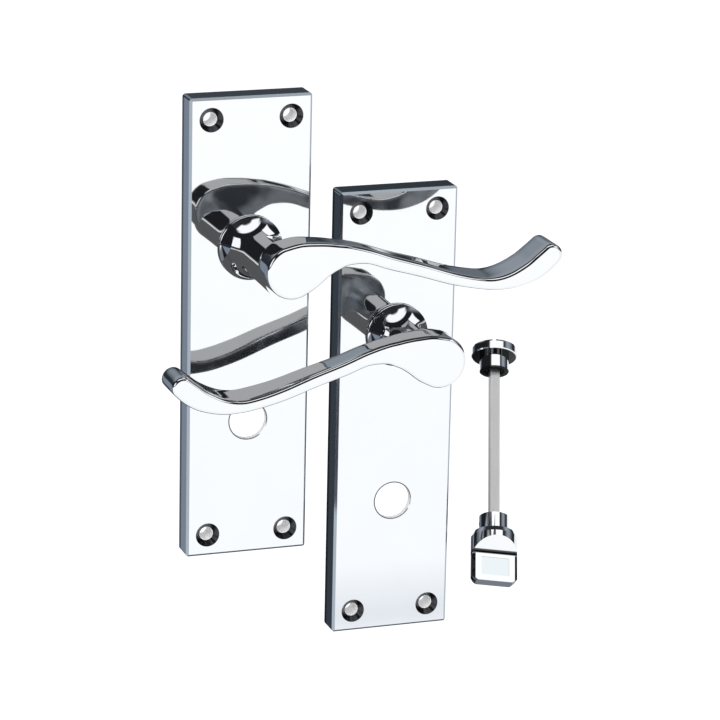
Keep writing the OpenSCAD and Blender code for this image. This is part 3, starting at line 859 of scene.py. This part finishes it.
cloth = sky.ramp(0.5 + 0.5 * way_z, [
    (0.0, (0.55, 0.58, 0.62)), (0.33, (0.2, 0.235, 0.29)), (0.42, (0.1, 0.12, 0.15)),
    (0.5, (0.02, 0.023, 0.028)), (0.6, (0.03, 0.036, 0.045)), (0.66, (0.15, 0.175, 0.2)),
    (0.72, (0.26, 0.29, 0.33)), (0.8, (0.3, 0.33, 0.37)), (0.88, (0.03, 0.033, 0.04)),
    (1.0, (0.02, 0.022, 0.026)),
])
slate_card = step(sky, way_x, 0.34, 0.4) * (1 - step(sky, way_x, 0.55, 0.6))
slate_card *= step(sky, way_z, 0.0, 0.05) * (1 - step(sky, way_z, 0.24, 0.28))
dark_side = (1 - step(sky, way_x, -0.62, -0.52)) * step(sky, way_z, 0.02, 0.1)
back_tone = sky.mix(slate_card, cloth, (0.13, 0.15, 0.17, 1))
back_tone = sky.mix(dark_side, back_tone, BLACK)

ceiling = step(sky, way_z, 0.78, 0.84) * (1 - step(sky, way_z, 0.94, 0.97))
ceiling *= 1 - step(sky, way_y, -0.2, -0.12)
seen_by_metal = sky.mix(ceiling, sky.mix(front, back_tone, front_tone), WHITE)

matt_light = sky.node("ShaderNodeBackground", None, {"Color": (1, 1, 1, 1), "Strength": MATT_LIGHT})
metal_light = sky.node("ShaderNodeBackground", None, {"Color": seen_by_metal, "Strength": 1.0})
white = sky.node("ShaderNodeBackground", None, {"Color": (1, 1, 1, 1), "Strength": 1.0})
for_rays = sky.node("ShaderNodeMixShader", None, {0: is_glossy, 1: matt_light, 2: metal_light})
for_all = sky.node("ShaderNodeMixShader", None, {0: is_camera, 1: for_rays, 2: white})
sky.node("ShaderNodeOutputWorld", None, {"Surface": for_all})
print("nodes of the studio:", len(sky.nodes))

# %% [markdown]
# ## The floor
# The floor is a wide pale sheet under the piece. The camera sees it white with the piece's soft shadow, so
# its matt skin gets just the glow that it lacks. The metal sees a table top: white near by, then a grey and
# a black stripe and slate beyond them, which give the narrow faces of the plates their tones. A dark card
# reaches back on the right of the line of sight and the far right is white. To light that has already met
# one mirror the floor is nearly black.

# %% Floor
FLOOR_Z = -0.2
FLOOR_SIZE = 4000
FLOOR_GLOW = 0.36
LINE_OF_SIGHT = 0.3185
FAR_STOPS = [
    (0.0, (1.04, 1.05, 1.06)), (0.392, (1.0, 1.015, 1.03)), (0.42, (0.8, 0.83, 0.87)),
    (0.435, (1.0, 1.01, 1.02)), (0.485, (1.0, 1.01, 1.02)), (0.5, (0.19, 0.21, 0.24)),
    (0.525, (0.18, 0.2, 0.23)), (0.533, (0.012, 0.012, 0.014)), (0.565, (0.012, 0.012, 0.014)),
    (0.585, (0.19, 0.225, 0.28)),
]

floor_bm = bmesh.new()
bmesh.ops.create_grid(floor_bm, x_segments=2, y_segments=2, size=FLOOR_SIZE)
floor = finish_mesh("floor", floor_bm, Matrix.Translation((0, 0, FLOOR_Z)) @ Matrix.Scale(MM, 4))


def floor_material():
    """Pale matt floor that keeps its shadow and shows stripes and cards to the metal."""
    material = bpy.data.materials.new("pale_floor")
    tree = Tree(material)
    seen_plainly = tree.node("ShaderNodeLightPath")
    glossy = seen_plainly.other("Is Glossy Ray")
    tone = tree.ramp(noise(tree, 3, 2), [(0.3, 0.86), (0.7, 0.88)])
    matt = tree.node("ShaderNodeBsdfDiffuse", None, {"Color": tone})
    glow = tree.node("ShaderNodeEmission", None, {
        "Color": (0.96, 0.98, 1, 1), "Strength": FLOOR_GLOW * seen_plainly,
    })
    both = tree.node("ShaderNodeAddShader", None, {0: matt, 1: glow})
    where, depth, _ = split(tree, tree.where())
    far_tone = tree.ramp(0.5 + 0.5 * depth, FAR_STOPS)
    across = where + LINE_OF_SIGHT * depth
    dark_card = step(tree, across, 0.006, 0.011) * step(tree, depth, 0.12, 0.15)
    far_tone = tree.mix(dark_card, far_tone, (0.035, 0.044, 0.056, 1))
    far_tone = tree.mix(step(tree, across, 0.15, 0.2), far_tone, (0.9, 0.92, 0.94, 1))
    second_mirror = step(tree, seen_plainly.other("Glossy Depth"), *SECOND_MIRROR)
    far_tone = tree.mix(0.92 * second_mirror, far_tone, (0.01, 0.01, 0.012, 1))
    mirror_view = tree.node("ShaderNodeEmission", None, {"Color": far_tone, "Strength": 1.0})
    mixed = tree.node("ShaderNodeMixShader", None, {0: glossy, 1: both, 2: mirror_view})
    tree.node("ShaderNodeOutputMaterial", None, {"Surface": mixed})
    return material


wear(floor, floor_material())
print("floor:", round(floor.dimensions.x, 1), "m wide, at", FLOOR_Z, "m")

# %% [markdown]
# ## Light and camera
# One large soft lamp gives matt surfaces a direction and the floor its shadow. Metal doesn't see it,
# because the soft boxes of the world already stand for it. The camera is a long lens from the upper left.

# %% Lamp
LAMP_AT, LAMP_AIM = Vector((-0.5, -0.8, 0.9)), Vector((0.04, 0, -0.05))
lamp_data = bpy.data.lights.new("soft_lamp", "AREA")
lamp_data.size = 0.9
lamp_data.energy = 9
lamp = bpy.data.objects.new("soft_lamp", lamp_data)
lamp.location = LAMP_AT
lamp.rotation_euler = (LAMP_AIM - LAMP_AT).to_track_quat("-Z", "Y").to_euler()
lamp.visible_glossy = False
bpy.context.scene.collection.objects.link(lamp)
print("lamp:", lamp_data.energy, "W,", round((LAMP_AIM - LAMP_AT).length, 2), "m away")

# %% Camera
CAMERA_AT = (-0.33355, -1.06438, 0.29393)
CAMERA_VIEW = Vector((0.31764, 0.90410, -0.28583))
CAMERA_UP = Vector((0.07395, 0.27691, 0.95805))
camera_data = bpy.data.cameras.new("camera")
camera_data.sensor_width = 36
camera_data.lens = 182.25
camera_data.clip_end = 20
camera = bpy.data.objects.new("camera", camera_data)
view = CAMERA_VIEW.normalized()
right = view.cross(CAMERA_UP.normalized()).normalized()
turn = Matrix((right, right.cross(view), -view)).transposed().to_4x4()
camera.matrix_world = Matrix.Translation(CAMERA_AT) @ turn
bpy.context.scene.collection.objects.link(camera)
bpy.context.scene.camera = camera
bpy.context.scene.view_settings.view_transform = "Standard"
print("lens:", camera_data.lens, "mm")
